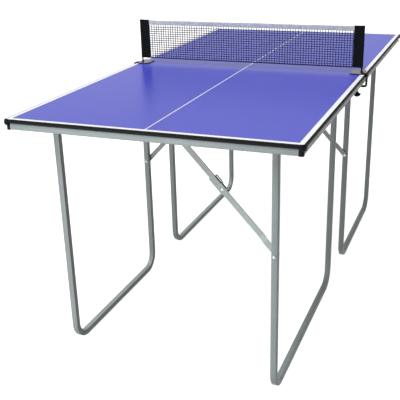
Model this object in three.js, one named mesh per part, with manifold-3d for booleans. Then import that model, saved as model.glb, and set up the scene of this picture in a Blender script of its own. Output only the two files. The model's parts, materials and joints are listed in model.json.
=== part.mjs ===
// A mid-size table tennis table in two identical halves, each standing on two folding U-shaped legs.
// Millimetres, +Z up, +X to the right and +Y along the table's length. The origin is on the floor,
// under the middle of the table. The far half is the near half turned half a turn about Z.
import * as THREE from 'three';
import { mergeVertices } from 'three/addons/utils/BufferGeometryUtils.js';
import Module from 'manifold-3d';

const wasm = await Module();
wasm.setup();

// ---- driving dimensions ----------------------------------------------------------------------
const TABLE_LENGTH = 1680;
const TABLE_WIDTH = 840;
const TABLE_HEIGHT = 760;
const GAP = 0.3; // between pieces that touch
const SEAM = 1; // between the two halves' boards

const BOARD_THICK = 11;
const BOARD_CORNER = 6;
const EDGE_THICK = 5; // the edge moulding stands this far out of the board
const RAIL_HIGH = 18.4;
const RAIL_WALL = 1.2;
const END_RAIL_DEEP = 12;
const SIDE_RAIL_DEEP = 10;
const RAIL_INSET = 1; // from the board's edge to the rail's outer face
const CORNER_CAP = 12.5;

const TUBE = 18; // square leg tube, across the flats
const TUBE_WALL = 1.2;
const TUBE_CHAMFER = 3;
const BEND_RADIUS = 55; // to the tube's centreline
const BEND_STEPS = 5;
const PIVOT_HEIGHT = 737;
const TUBE_PAST_PIVOT = 3.5;
const PIN_RADIUS = 4;
const OUTER_LEG = { x: 329, yEnd: -762, ySeam: -66 };
const INNER_LEG = { x: -335, yEnd: -711, ySeam: -142 };

const BRACE_FOOT_HEIGHT = 427.5; // the brace's rivet on the leg
const BRACE_TOP_REACH = 284; // from that rivet in to the brace's top pivot
const BRACE_TOP_HEIGHT = 735;
const LOWER_ARM = 222.08; // rivet to middle pivot, so that the arms fold flat with the inner leg at 90°
const BAR_WIDE = 16;
const BAR_THICK = 3;
const CATCH_SIDE_ARM = 45; // the lower arm runs on this far past the middle pivot

const NET_TOP = 152.5; // above the playing surface
const NET_SIDE = 368; // from the middle to the net's end
const TAPE_HIGH = 16.5;
const SLEEVE_WIDE = 36.5;
const SLEEVE_THICK = 9;
const SLEEVE_FOOT = 17; // from the playing surface up to the sleeve
const POST_X = 401;
const POST_RADIUS = 2.5;
const CLAMP_X = { low: 366, plateOut: 411, high: 424.5 };
const CLAMP_WIDE = 66;
const STRAP_WIDE = 14;
const SHOULDER_WIDE = 22; // the strap's upper part
const SHOULDER_FOOT = 745;
const STRAP_Y = -20; // to the near side of the seam
const JAW_FOOT = 720; // underside of the clamp's lower arm
const SHEET = 3;
const SCREW_X = 393;
const BOLT_X = 200;
const BOLT_HEIGHT = 739.5;

const BOARD_UNDER = TABLE_HEIGHT - BOARD_THICK;
const RAIL_TOP = BOARD_UNDER - GAP;
const RAIL_UNDER = RAIL_TOP - RAIL_HIGH;
const BOARD_X = TABLE_WIDTH / 2 - EDGE_THICK;
const BOARD_END = -(TABLE_LENGTH / 2 - EDGE_THICK);
const BOARD_SEAM = -SEAM / 2;

// ---- materials -------------------------------------------------------------------------------
const finish = (color, roughness, metalness) =>
  new THREE.MeshStandardMaterial({ color, roughness, metalness });
const looks = {
  blueBoard: () => finish(0x6c6ccd, 0.45, 0),
  blackPlastic: () => finish(0x15171a, 0.45, 0),
  rail: () => finish(0xa5afac, 0.5, 0.3),
  leg: () => finish(0x828c8c, 0.5, 0.3),
  brace: () => finish(0x9aa5a3, 0.5, 0.4),
  zinc: () => finish(0xc9ccce, 0.3, 0.9),
  blackSteel: () => finish(0x141516, 0.4, 0.3),
  netCord: () => finish(0x1a1b20, 0.9, 0),
  whiteTape: () => finish(0xe6ebea, 0.8, 0),
};

// ---- solids ----------------------------------------------------------------------------------
const shapeOf = (points) => new THREE.Shape(points.map(([a, b]) => new THREE.Vector2(a, b)));

// Extrudes an outline drawn in a plane. xAxis and yAxis are where the outline's two axes point.
function plate(shape, depth, origin, xAxis, yAxis) {
  const solid = new THREE.ExtrudeGeometry(shape, { depth, bevelEnabled: false, curveSegments: 3 });
  const zAxis = new THREE.Vector3().crossVectors(xAxis, yAxis);
  solid.applyMatrix4(new THREE.Matrix4().makeBasis(xAxis, yAxis, zAxis).setPosition(origin));
  return solid;
}

const X = new THREE.Vector3(1, 0, 0);
const Y = new THREE.Vector3(0, 1, 0);
const Z = new THREE.Vector3(0, 0, 1);
const upright = (shape, z0, z1) => plate(shape, z1 - z0, new THREE.Vector3(0, 0, z0), X, Y);
const alongX = (shape, x0, x1) => plate(shape, x1 - x0, new THREE.Vector3(x0, 0, 0), Y, Z);
// an outline in X and Z, from y0 to y1
const alongY = (shape, y0, y1) => plate(shape, y1 - y0, new THREE.Vector3(0, y1, 0), X, Z);

function box(x0, x1, y0, y1, z0, z1) {
  const solid = new THREE.BoxGeometry(x1 - x0, y1 - y0, z1 - z0);
  return solid.translate((x0 + x1) / 2, (y0 + y1) / 2, (z0 + z1) / 2);
}

function rodAlongY(radius, x, y0, y1, z, sides = 12) {
  const rod = new THREE.CylinderGeometry(radius, radius, y1 - y0, sides);
  return rod.translate(x, (y0 + y1) / 2, z);
}

function rodAlongZ(radius, x, y, z0, z1, sides = 12) {
  const rod = new THREE.CylinderGeometry(radius, radius, z1 - z0, sides).rotateX(Math.PI / 2);
  return rod.translate(x, y, (z0 + z1) / 2);
}

function manifoldOf(geometry) {
  const bare = geometry.clone();
  bare.deleteAttribute('normal');
  bare.deleteAttribute('uv');
  const merged = mergeVertices(bare, 1e-4);
  return new wasm.Manifold(
    new wasm.Mesh({
      numProp: 3,
      vertProperties: new Float32Array(merged.attributes.position.array),
      triVerts: new Uint32Array(merged.index.array),
    }),
  );
}

// asOriginal lets flat faces that a cut or join has split be joined up again.
function geometryOf(manifold) {
  const mesh = manifold.asOriginal().getMesh();
  const geometry = new THREE.BufferGeometry();
  geometry.setAttribute('position', new THREE.BufferAttribute(mesh.vertProperties, 3));
  geometry.setIndex(new THREE.BufferAttribute(mesh.triVerts, 1));
  geometry.computeVertexNormals();
  return geometry;
}

const join = (first, ...more) =>
  geometryOf(more.reduce((sum, g) => sum.add(manifoldOf(g)), manifoldOf(first)));
const cut = (first, ...tools) =>
  geometryOf(tools.reduce((rest, g) => rest.subtract(manifoldOf(g)), manifoldOf(first)));
const common = (a, b) => geometryOf(manifoldOf(a).intersect(manifoldOf(b)));

const piece = (name, geometry, look) => {
  const mesh = new THREE.Mesh(geometry, looks[look]());
  mesh.name = name;
  return mesh;
};

// ---- the board and its edge ------------------------------------------------------------------
// The half board's outline on its three free sides, offset outwards: seam, corner, corner, seam.
function boardOutline(offset) {
  const side = BOARD_X + offset;
  const end = BOARD_END - offset;
  const radius = BOARD_CORNER + offset;
  const outline = new THREE.Path();
  outline.moveTo(-side, BOARD_SEAM);
  outline.lineTo(-side, end + radius);
  outline.absarc(-side + radius, end + radius, radius, Math.PI, 1.5 * Math.PI);
  outline.lineTo(side - radius, end);
  outline.absarc(side - radius, end + radius, radius, 1.5 * Math.PI, 2 * Math.PI);
  outline.lineTo(side, BOARD_SEAM);
  return outline.getPoints(3);
}

function board() {
  return upright(new THREE.Shape(boardOutline(0)), BOARD_UNDER, TABLE_HEIGHT);
}

// A D-shaped strip round the three free sides: its outer face bulges in steps of height.
function edgeMoulding() {
  const inner = boardOutline(GAP);
  const levels = 5;
  const layers = [];
  for (let level = 0; level <= levels; level += 1) {
    const turn = (Math.PI * level) / levels;
    const bulge = 0.45 + 0.55 * Math.sin(turn);
    const z = (BOARD_UNDER + TABLE_HEIGHT - BOARD_THICK * Math.cos(turn)) / 2;
    layers.push(boardOutline(EDGE_THICK * bulge).map((p) => [p.x, p.y, z]));
  }
  layers.push(inner.map((p) => [p.x, p.y, TABLE_HEIGHT]));
  layers.unshift(inner.map((p) => [p.x, p.y, BOARD_UNDER]));
  const count = inner.length;
  const rings = layers.length;
  const index = [];
  for (let ring = 0; ring < rings; ring += 1) {
    const next = (ring + 1) % rings;
    for (let i = 0; i + 1 < count; i += 1) {
      const [a, b] = [ring * count + i, ring * count + i + 1];
      const [c, d] = [next * count + i, next * count + i + 1];
      index.push(a, b, d, a, d, c);
    }
  }
  for (let ring = 1; ring + 1 < rings; ring += 1) {
    index.push(0, ring * count, (ring + 1) * count);
    index.push(count - 1, (ring + 2) * count - 1, (ring + 1) * count - 1);
  }
  const strip = new THREE.BufferGeometry();
  strip.setAttribute('position', new THREE.Float32BufferAttribute(layers.flat(2), 3));
  strip.setIndex(index);
  strip.computeVertexNormals();
  return strip;
}

// ---- the frame under the board ---------------------------------------------------------------
const rectangle = (a0, a1, b0, b1) => shapeOf([[a0, b0], [a1, b0], [a1, b1], [a0, b1]]);

function boxSection(a0, a1, b0, b1) {
  const section = rectangle(a0, a1, b0, b1);
  section.holes.push(rectangle(a0 + RAIL_WALL, a1 - RAIL_WALL, b0 + RAIL_WALL, b1 - RAIL_WALL));
  return section;
}

const RAIL_OUT_X = BOARD_X - RAIL_INSET;
const RAIL_OUT_Y = BOARD_END + RAIL_INSET;
const CAP_IN_X = RAIL_OUT_X - CORNER_CAP + RAIL_INSET;
const CAP_IN_Y = RAIL_OUT_Y + CORNER_CAP - RAIL_INSET;

function endRail() {
  const section = boxSection(RAIL_OUT_Y, RAIL_OUT_Y + END_RAIL_DEEP, RAIL_UNDER, RAIL_TOP);
  return alongX(section, -CAP_IN_X + GAP, CAP_IN_X - GAP);
}

function sideRail(side) {
  const [a, b] = [side * RAIL_OUT_X, side * (RAIL_OUT_X - SIDE_RAIL_DEEP)];
  const section = boxSection(Math.min(a, b), Math.max(a, b), RAIL_UNDER, RAIL_TOP);
  return alongY(section, CAP_IN_Y + GAP, BOARD_SEAM - GAP);
}

const SEAM_RAIL_OUT = BOARD_SEAM - GAP;

function seamRail() {
  const reach = RAIL_OUT_X - SIDE_RAIL_DEEP - GAP;
  const section = boxSection(SEAM_RAIL_OUT - END_RAIL_DEEP, SEAM_RAIL_OUT, RAIL_UNDER, RAIL_TOP);
  const holes = [-BOLT_X, BOLT_X].map((x) => rodAlongY(4.6, x, -40, 40, BOLT_HEIGHT));
  return cut(alongX(section, -reach, reach), ...holes);
}

// A plastic corner: a post that closes the ends of two rails, with a round collar under the edge.
function cornerCap(side) {
  const out = BOARD_X - 0.2;
  const post = new THREE.Shape();
  const near = BOARD_END + 0.2;
  const round = 5;
  post.moveTo(CAP_IN_X, CAP_IN_Y);
  post.lineTo(CAP_IN_X, near);
  post.lineTo(out - round, near);
  post.absarc(out - round, near + round, round, 1.5 * Math.PI, 2 * Math.PI);
  post.lineTo(out, CAP_IN_Y);
  const stem = upright(post, RAIL_UNDER - 0.5, RAIL_TOP);
  const collarRadius = 11;
  const centre = [TABLE_WIDTH / 2 - collarRadius, collarRadius - TABLE_LENGTH / 2];
  const disc = new THREE.CylinderGeometry(collarRadius, collarRadius - 4, 5.5, 16).rotateX(Math.PI / 2);
  disc.translate(centre[0], centre[1], RAIL_TOP - 2.75);
  const keep = box(CAP_IN_X, BOARD_X + 10, BOARD_END - 10, CAP_IN_Y, RAIL_UNDER, RAIL_TOP);
  const cap = join(stem, common(disc, keep));
  return side > 0 ? cap : mirrored(cap);
}

function mirrored(geometry) {
  const copy = geometry.clone();
  copy.scale(-1, 1, 1);
  const index = copy.index.array;
  for (let i = 0; i < index.length; i += 3) [index[i], index[i + 1]] = [index[i + 1], index[i]];
  copy.computeVertexNormals();
  return copy;
}

// A sheet-metal saddle under the board: two ears that hold a leg's cross pin.
function legBracket(x, y) {
  const inside = TUBE / 2 + 0.5;
  const outside = inside + 2.5;
  const top = RAIL_TOP;
  const strip = 1.5;
  const ear = new THREE.Shape();
  ear.moveTo(x - 15, top);
  ear.lineTo(x - 9, PIVOT_HEIGHT);
  ear.absarc(x, PIVOT_HEIGHT, 9, Math.PI, 2 * Math.PI);
  ear.lineTo(x + 15, top);
  const ears = [[-outside, -inside], [inside, outside]].map(([a, b]) => alongY(ear, y + a, y + b));
  const base = box(x - 22, x + 22, y - outside, y + outside, top - strip, top);
  const hole = rodAlongY(PIN_RADIUS + 0.4, x, y - 2 * TUBE, y + 2 * TUBE, PIVOT_HEIGHT);
  return cut(join(base, ...ears), hole);
}

// ---- the legs --------------------------------------------------------------------------------
// The centreline of a bent tube: stations with a tangent at each, close together only in the bends.
class BentPath extends THREE.Curve {
  constructor(stations) {
    super();
    this.stations = stations;
  }

  station(u) {
    return this.stations[Math.round(u * (this.stations.length - 1))];
  }

  getPointAt(u, target = new THREE.Vector3()) {
    return target.copy(this.station(u).point);
  }

  getTangentAt(u, target = new THREE.Vector3()) {
    return target.copy(this.station(u).tangent);
  }
}

function legStations(x, yEnd, ySeam) {
  const stations = [];
  const add = (y, z, turn) => {
    const tangent = new THREE.Vector3(0, Math.sin(turn), -Math.cos(turn));
    stations.push({ point: new THREE.Vector3(x, y, z), tangent });
  };
  const top = PIVOT_HEIGHT + TUBE_PAST_PIVOT;
  const bendHeight = TUBE / 2 + BEND_RADIUS;
  add(yEnd, top, 0);
  for (const [centre, start] of [[yEnd + BEND_RADIUS, 0], [ySeam - BEND_RADIUS, Math.PI / 2]]) {
    for (let step = 0; step <= BEND_STEPS; step += 1) {
      const turn = start + (Math.PI / 2) * (step / BEND_STEPS);
      add(centre - BEND_RADIUS * Math.cos(turn), bendHeight - BEND_RADIUS * Math.sin(turn), turn);
    }
  }
  add(ySeam, top, Math.PI);
  return stations;
}

function tubeSection() {
  const [h, c] = [TUBE / 2, TUBE / 2 - TUBE_CHAMFER];
  const section = shapeOf([[-c, -h], [c, -h], [h, -c], [h, c], [c, h], [-c, h], [-h, c], [-h, -c]]);
  const bore = TUBE / 2 - TUBE_WALL;
  const [i, j] = [bore, bore - 2];
  section.holes.push(shapeOf([[-j, -i], [j, -i], [i, -j], [i, j], [j, i], [-j, i], [-i, j], [-i, -j]]));
  return section;
}

function leg({ x, yEnd, ySeam }, rivetY) {
  const stations = legStations(x, yEnd, ySeam);
  const extrudePath = new BentPath(stations);
  const tube = new THREE.ExtrudeGeometry(tubeSection(), { steps: stations.length - 1, extrudePath });
  const pins = [yEnd, ySeam].map((y) => rodAlongY(PIN_RADIUS, x, y - 14, y + 14, PIVOT_HEIGHT, 12));
  const drill = rodAlongY(3.3, x, rivetY - TUBE, rivetY + TUBE, BRACE_FOOT_HEIGHT, 12);
  return cut(join(tube, ...pins), drill);
}

// The rivet that ties the brace to the leg: a domed head outside the tube, and its shank.
function legRivet(x, y) {
  const face = y - TUBE / 2;
  const profile = [[0, 0], [5.5, 0], [5.1, 1.6], [3.4, 3.1], [0, 3.6]];
  const head = new THREE.LatheGeometry(profile.map(([r, h]) => new THREE.Vector2(r, h)), 12);
  head.rotateX(Math.PI).translate(x, face - GAP, BRACE_FOOT_HEIGHT);
  const shank = rodAlongY(2.8, x, face - 1, y + TUBE / 2 - 0.5, BRACE_FOOT_HEIGHT, 12);
  return join(head, shank);
}

// ---- the folding braces ----------------------------------------------------------------------
// A brace lies in an X-Z plane beside its leg. "along" points from the leg's rivet to the top pivot,
// "over" is the side that the middle pivot folds towards.
function braceFrame(x) {
  const side = Math.sign(x);
  const foot = new THREE.Vector3(x, 0, BRACE_FOOT_HEIGHT);
  const top = new THREE.Vector3(x - side * BRACE_TOP_REACH, 0, BRACE_TOP_HEIGHT);
  const along = top.clone().sub(foot);
  const length = along.length();
  along.normalize();
  const over = new THREE.Vector3(side * along.z, 0, -side * along.x);
  return { side, foot, top, along, over, length };
}

function bar(frame, shape, y0, y1) {
  const outward = new THREE.Vector3().crossVectors(frame.along, frame.over).y;
  const origin = frame.foot.clone().setY(outward > 0 ? y0 : y1);
  return plate(shape, y1 - y0, origin, frame.along, frame.over);
}

// A bar with round ends about its two pivots.
function roundEnded(a0, a1, half) {
  const shape = new THREE.Shape();
  shape.moveTo(a0, -half);
  shape.lineTo(a1, -half);
  shape.absarc(a1, 0, half, -Math.PI / 2, Math.PI / 2);
  shape.lineTo(a0, half);
  shape.absarc(a0, 0, half, Math.PI / 2, 1.5 * Math.PI);
  return shape;
}

function pointOn(frame, a, n = 0) {
  return frame.foot.clone().addScaledVector(frame.along, a).addScaledVector(frame.over, n);
}

const JOGGLE = { from: 46, to: 60, step: 4.5 };

// The levels in y of a brace beside a leg tube whose inner face is at y.
function braceLevels(face) {
  const foot = face + 1;
  const lower = foot + JOGGLE.step;
  const upper = lower + BAR_THICK + 0.7;
  return { foot, lower, upper, end: upper + BAR_THICK };
}

function lowerArm(frame, face) {
  const { foot, lower, upper, end } = braceLevels(face);
  const half = BAR_WIDE / 2;
  const footBar = bar(frame, roundEnded(0, JOGGLE.from, half), foot, foot + BAR_THICK);
  const mainBar = bar(frame, roundEnded(JOGGLE.to, LOWER_ARM, half), lower, lower + BAR_THICK);
  const [wing0, wing1] = [LOWER_ARM - 14, LOWER_ARM + CATCH_SIDE_ARM];
  const [wingLow, wingHigh, slant] = [-half - 2.5, half + 2, 5];
  const wing = shapeOf([
    [wing0, -half],
    [wing0 + slant, wingLow],
    [wing1 - slant, wingLow],
    [wing1, wingLow + slant],
    [wing1, wingHigh - slant],
    [wing1 - slant, wingHigh],
    [wing0 + slant, wingHigh],
    [wing0, half],
  ]);
  const wide = bar(frame, wing, lower, lower + BAR_THICK);
  // the stop: a lip folded over the upper arm's edge
  const lip = bar(frame, rectangle(LOWER_ARM + 14, wing1 - slant, half + 0.5, wingHigh), lower, end);
  const lean = (BAR_THICK * JOGGLE.step) / (JOGGLE.to - JOGGLE.from) / 2;
  const slope = shapeOf([
    [JOGGLE.from - lean, foot],
    [JOGGLE.from + lean, foot],
    [JOGGLE.to + lean, lower],
    [JOGGLE.to - lean, lower + BAR_THICK],
    [JOGGLE.from - lean, foot + BAR_THICK],
  ]);
  const outward = new THREE.Vector3().crossVectors(frame.along, Y).dot(frame.over);
  const link = plate(slope, BAR_WIDE, pointOn(frame, 0, -outward * half), frame.along, Y);
  const middle = pointOn(frame, LOWER_ARM);
  const shank = rodAlongY(3, middle.x, lower + 1, end + 0.4, middle.z);
  const head = rodAlongY(5.5, middle.x, end + 0.4, end + 2.4, middle.z);
  const tail = pointOn(frame, 0);
  const boss = rodAlongY(5.5, tail.x, foot + BAR_THICK - 0.5, foot + BAR_THICK + 1.8, tail.z);
  return join(mainBar, wide, lip, link, footBar, shank, head, boss);
}

function upperArm(frame, face) {
  const { upper } = braceLevels(face);
  const half = BAR_WIDE / 2;
  const arm = bar(frame, roundEnded(LOWER_ARM, frame.length, half), upper, upper + BAR_THICK);
  const holes = [LOWER_ARM, frame.length].map((a) => {
    const at = pointOn(frame, a);
    return rodAlongY(3.4, at.x, upper - 5, upper + BAR_THICK + 5, at.z);
  });
  return cut(arm, ...holes);
}

// An angle bracket under the board: its one ear carries the brace's top pin, on the side away from
// the lower arm, so that the folded lower arm can pass the pin.
function braceBracket(frame, face) {
  const { upper, end } = braceLevels(face);
  const { x, z } = frame.top;
  const ear = new THREE.Shape();
  ear.moveTo(x - 14, RAIL_TOP);
  ear.lineTo(x - 8.5, z);
  ear.absarc(x, z, 8.5, Math.PI, 2 * Math.PI);
  ear.lineTo(x + 14, RAIL_TOP);
  const inside = end + 0.6;
  const base = box(x - 20, x + 20, inside, inside + 16, RAIL_TOP - 2, RAIL_TOP);
  const pin = rodAlongY(3, x, upper, inside + 1, z);
  const head = rodAlongY(5.5, x, inside + 1, inside + 4, z);
  return join(base, alongY(ear, inside, inside + 2), pin, head);
}

// The spring catch: a bent wire along the lower arm's edge that holds the brace straight.
function braceCatch(frame, face) {
  const { lower } = braceLevels(face);
  const edge = BAR_WIDE / 2 + 2.4;
  const wire = 2.8;
  const shape = shapeOf([
    [LOWER_ARM - 6, edge],
    [LOWER_ARM - 6, edge + wire],
    [LOWER_ARM + 10, edge + wire],
    [LOWER_ARM + 18, edge + wire + 4],
    [LOWER_ARM + 40, edge + wire + 4],
    [LOWER_ARM + 40, edge + 4],
    [LOWER_ARM + 19, edge + 4],
    [LOWER_ARM + 11, edge],
  ]);
  return bar(frame, shape, lower + 0.3, lower + 0.3 + wire);
}

// ---- one half of the table -------------------------------------------------------------------
function slideBolt() {
  const rod = rodAlongY(4, BOLT_X, -62, 26, BOLT_HEIGHT, 12);
  const grip = new THREE.CylinderGeometry(4, 4, 26, 12).rotateZ(Math.PI / 2);
  return join(rod, grip.translate(BOLT_X - 13, -58, BOLT_HEIGHT));
}

function legSet(half, kind, place) {
  const group = new THREE.Group();
  const { x, yEnd, ySeam } = place;
  const rivetY = kind === 'outer' ? yEnd : ySeam;
  const face = rivetY + TUBE / 2;
  const frame = braceFrame(x);
  const name = (what) => `${half}_${kind}_${what}`;
  group.add(
    piece(name('leg'), leg(place, rivetY), 'leg'),
    piece(name('leg_bracket_end'), legBracket(x, yEnd), 'leg'),
    piece(name('leg_bracket_seam'), legBracket(x, ySeam), 'leg'),
    piece(name('leg_rivet'), legRivet(x, rivetY), 'zinc'),
    piece(name('brace_lower_arm'), lowerArm(frame, face), 'brace'),
    piece(name('brace_upper_arm'), upperArm(frame, face), 'brace'),
    piece(name('brace_bracket'), braceBracket(frame, face), 'brace'),
    piece(name('brace_catch'), braceCatch(frame, face), 'blackSteel'),
  );
  return group;
}

function tableHalf(half) {
  const group = new THREE.Group();
  group.add(
    piece(`${half}_board`, board(), 'blueBoard'),
    piece(`${half}_edge_moulding`, edgeMoulding(), 'blackPlastic'),
    piece(`${half}_end_rail`, endRail(), 'rail'),
    piece(`${half}_outer_side_rail`, sideRail(1), 'rail'),
    piece(`${half}_inner_side_rail`, sideRail(-1), 'rail'),
    piece(`${half}_seam_rail`, seamRail(), 'rail'),
    piece(`${half}_outer_corner_cap`, cornerCap(1), 'blackPlastic'),
    piece(`${half}_inner_corner_cap`, cornerCap(-1), 'blackPlastic'),
    piece(`${half}_slide_bolt`, slideBolt(), 'zinc'),
    legSet(half, 'outer', OUTER_LEG),
    legSet(half, 'inner', INNER_LEG),
  );
  return group;
}

// ---- the net and its clamps ------------------------------------------------------------------
function netSet() {
  const group = new THREE.Group();
  const top = TABLE_HEIGHT + NET_TOP;
  const tapeFoot = top - TAPE_HIGH;
  const foot = TABLE_HEIGHT + SLEEVE_FOOT;
  group.add(
    piece('net_mesh', box(-NET_SIDE, NET_SIDE, -1, 1, foot + 1, tapeFoot - GAP), 'netCord'),
    piece('net_top_tape', box(-NET_SIDE, NET_SIDE, -2, 2, tapeFoot, top), 'whiteTape'),
  );
  for (const [name, side] of [['left', -1], ['right', 1]]) {
    const near = NET_SIDE + GAP;
    const sleeve = box(near, near + SLEEVE_WIDE, -SLEEVE_THICK / 2, SLEEVE_THICK / 2, foot, top + 1);
    const pocket = box(POST_X - 4, POST_X + 4, -3.2, 3.2, foot - 5, top - 1);
    const solid = cut(sleeve, pocket);
    group.add(piece(`net_sleeve_${name}`, side > 0 ? solid : mirrored(solid), 'netCord'));
  }
  return group;
}

// A plate on the board with the net post on it, and a narrow strap that goes round the board's edge
// and back in as the lower arm, which carries the screw.
function clampBracket(y) {
  const { low, plateOut, high } = CLAMP_X;
  const plateFoot = TABLE_HEIGHT + GAP;
  const plateTop = plateFoot + SHEET;
  const wide = CLAMP_WIDE / 2;
  const broad = SHOULDER_WIDE / 2;
  const narrow = STRAP_WIDE / 2;
  const topPlate = box(low, plateOut, -wide, wide, plateFoot, plateTop);
  const strapTop = box(plateOut - 5, high, y - broad, y + broad, plateFoot, plateTop);
  const shoulder = box(high - SHEET, high, y - broad, y + broad, SHOULDER_FOOT, plateTop);
  const strap = box(high - SHEET, high, y - narrow, y + narrow, JAW_FOOT, plateTop);
  const jaw = box(SCREW_X - 12, high, y - narrow, y + narrow, JAW_FOOT, JAW_FOOT + SHEET);
  const post = rodAlongZ(POST_RADIUS, POST_X, 0, plateFoot + 1, TABLE_HEIGHT + NET_TOP - 4, 12);
  const screwHole = rodAlongZ(4.1, SCREW_X, y, JAW_FOOT - 5, JAW_FOOT + SHEET + 5);
  return cut(join(topPlate, strapTop, shoulder, strap, jaw, post), screwHole);
}

function clampScrew(y) {
  const shaft = rodAlongZ(3.5, SCREW_X, y, 697, RAIL_UNDER - 3.3);
  const hub = rodAlongZ(7.5, SCREW_X, y, 685, 700);
  const wings = box(SCREW_X - 12, SCREW_X + 12, y - 3, y + 3, 686.5, 698.5);
  return join(shaft, hub, wings);
}

function clampPad(y) {
  return rodAlongZ(9, SCREW_X, y, RAIL_UNDER - 3, RAIL_UNDER - GAP, 20);
}

function clampSet(name, side) {
  const group = new THREE.Group();
  const turned = (geometry) => (side > 0 ? geometry : geometry.rotateZ(Math.PI));
  const y = side * STRAP_Y; // drawn on the right, so that both straps end up on the near side
  group.add(
    piece(`clamp_bracket_${name}`, turned(clampBracket(y)), 'blackSteel'),
    piece(`clamp_screw_${name}`, turned(clampScrew(y)), 'blackPlastic'),
    piece(`clamp_pad_${name}`, turned(clampPad(y)), 'blackPlastic'),
  );
  return group;
}

// ---- the whole table -------------------------------------------------------------------------
const table = new THREE.Group();
const farHalf = tableHalf('far');
farHalf.rotation.z = Math.PI;
table.add(tableHalf('near'), farHalf, netSet(), clampSet('left', -1), clampSet('right', 1));

export default table;
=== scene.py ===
"""A mid-size table tennis table: the looks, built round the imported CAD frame.

Everything is in metres, in the frame's own axes: +X right, +Y along the table, +Z up.
Each half is drawn as the near one. The far one is the same, turned half a turn about Z.
"""

import json
import math

import bmesh
import bpy
from mathutils import Matrix, Vector, noise


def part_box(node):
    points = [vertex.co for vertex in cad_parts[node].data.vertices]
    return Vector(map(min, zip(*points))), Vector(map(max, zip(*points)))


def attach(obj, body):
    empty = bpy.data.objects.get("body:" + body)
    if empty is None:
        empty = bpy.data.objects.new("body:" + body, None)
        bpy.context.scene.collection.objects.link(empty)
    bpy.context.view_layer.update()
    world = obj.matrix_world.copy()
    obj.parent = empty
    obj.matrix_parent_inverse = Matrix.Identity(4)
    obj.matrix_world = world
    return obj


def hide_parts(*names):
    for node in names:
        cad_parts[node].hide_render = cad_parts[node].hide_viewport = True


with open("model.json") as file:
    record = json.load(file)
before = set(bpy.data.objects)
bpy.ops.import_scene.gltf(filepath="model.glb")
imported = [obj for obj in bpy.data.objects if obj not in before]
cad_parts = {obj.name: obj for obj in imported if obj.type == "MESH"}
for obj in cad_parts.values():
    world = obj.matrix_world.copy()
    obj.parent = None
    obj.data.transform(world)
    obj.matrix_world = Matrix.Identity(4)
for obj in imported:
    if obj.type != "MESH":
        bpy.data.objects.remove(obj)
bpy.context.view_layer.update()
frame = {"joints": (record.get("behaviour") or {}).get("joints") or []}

HALVES = (("near", 1), ("far", -1))
KINDS = ("outer", "inner")
JOINT_AT = {j["name"]: Vector(j["pos_m"]) for j in frame["joints"] if "pos_m" in j}
UP = Vector((0, 0, 1))
DOWN = (0, 0, -1)
ACROSS = (0, 1, 0)
BACK = (0, -1, 0)

BOARD_LOW, BOARD_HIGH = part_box("near_board")
PLAY = BOARD_HIGH.z
BOARD_UNDER = BOARD_LOW.z
BORDER = 0.0135  # white line round the edge
PAINTED_SHADOW_WIDTH = 0.0014  # width of the painted shadow line, a darker blue where the blue meets a white line
CENTRE_LINE = 0.0034  # width

TUBE = 0.018  # side of a leg's square tube
TUBE_WALL = 0.0012
BEND = 0.055  # radius of a leg's two bends, along the tube's middle
CROSS_PIN = 0.014  # a leg's cross pin reaches this far either side of the tube's middle
ARM = 0.016  # width of a brace's flat bar
SHEET = 0.003  # thickness of the brace bars and of the clamps' plates


# ---- camera, light and floor -----------------------------------------------------------------
def make_camera():
    azimuth, elevation, roll = (math.radians(a) for a in (22.15, 21.46, -1.61))
    flat = math.cos(elevation)
    ahead = Vector((-math.sin(azimuth) * flat, math.cos(azimuth) * flat, -math.sin(elevation)))
    level = ahead.cross(UP).normalized()
    above = level.cross(ahead)
    right = math.cos(roll) * level + math.sin(roll) * above
    top = math.cos(roll) * above - math.sin(roll) * level
    data = bpy.data.cameras.new("camera")
    data.sensor_width = 36
    data.lens = 65.86
    camera = bpy.data.objects.new("camera", data)
    bpy.context.scene.collection.objects.link(camera)
    turn = Matrix((right, top, -ahead)).transposed().to_4x4()
    camera.matrix_world = Matrix.Translation((0.8011, -2.4331, 1.2691)) @ turn
    bpy.context.scene.camera = camera


def light_room():
    """The room is bright on the left and behind, and dim on the right and in front. The camera
    itself sees only white."""
    world = bpy.data.worlds.new("studio")
    bpy.context.scene.world = world
    world.use_nodes = True
    nodes, links = world.node_tree.nodes, world.node_tree.links
    nodes.clear()
    out = nodes.new("ShaderNodeOutputWorld")
    where = nodes.new("ShaderNodeTexCoord")
    split = nodes.new("ShaderNodeSeparateXYZ")
    both = nodes.new("ShaderNodeMath")
    both.operation = "MULTIPLY"
    # axis, where the fade starts and ends, and the strength before and after it
    fades = (("X", -0.25, 0.33, 0.98, 0.03), ("Y", -0.5, 0.3, 0.32, 1.0))
    for slot, (axis, start, end, before, after) in enumerate(fades):
        fade = nodes.new("ShaderNodeMapRange")
        fade.interpolation_type = "SMOOTHSTEP"
        settings = (("From Min", start), ("From Max", end), ("To Min", before), ("To Max", after))
        for socket, value in settings:
            fade.inputs[socket].default_value = value
        links.new(split.outputs[axis], fade.inputs["Value"])
        links.new(fade.outputs["Result"], both.inputs[slot])
    room = nodes.new("ShaderNodeBackground")
    wall = nodes.new("ShaderNodeBackground")
    wall.inputs["Color"].default_value = (1, 1, 1, 1)
    path = nodes.new("ShaderNodeLightPath")
    mix = nodes.new("ShaderNodeMixShader")
    links.new(where.outputs["Generated"], split.inputs["Vector"])
    links.new(both.outputs["Value"], room.inputs["Strength"])
    links.new(path.outputs["Is Camera Ray"], mix.inputs["Fac"])
    links.new(room.outputs["Background"], mix.inputs[1])
    links.new(wall.outputs["Background"], mix.inputs[2])
    links.new(mix.outputs["Shader"], out.inputs["Surface"])


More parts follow.
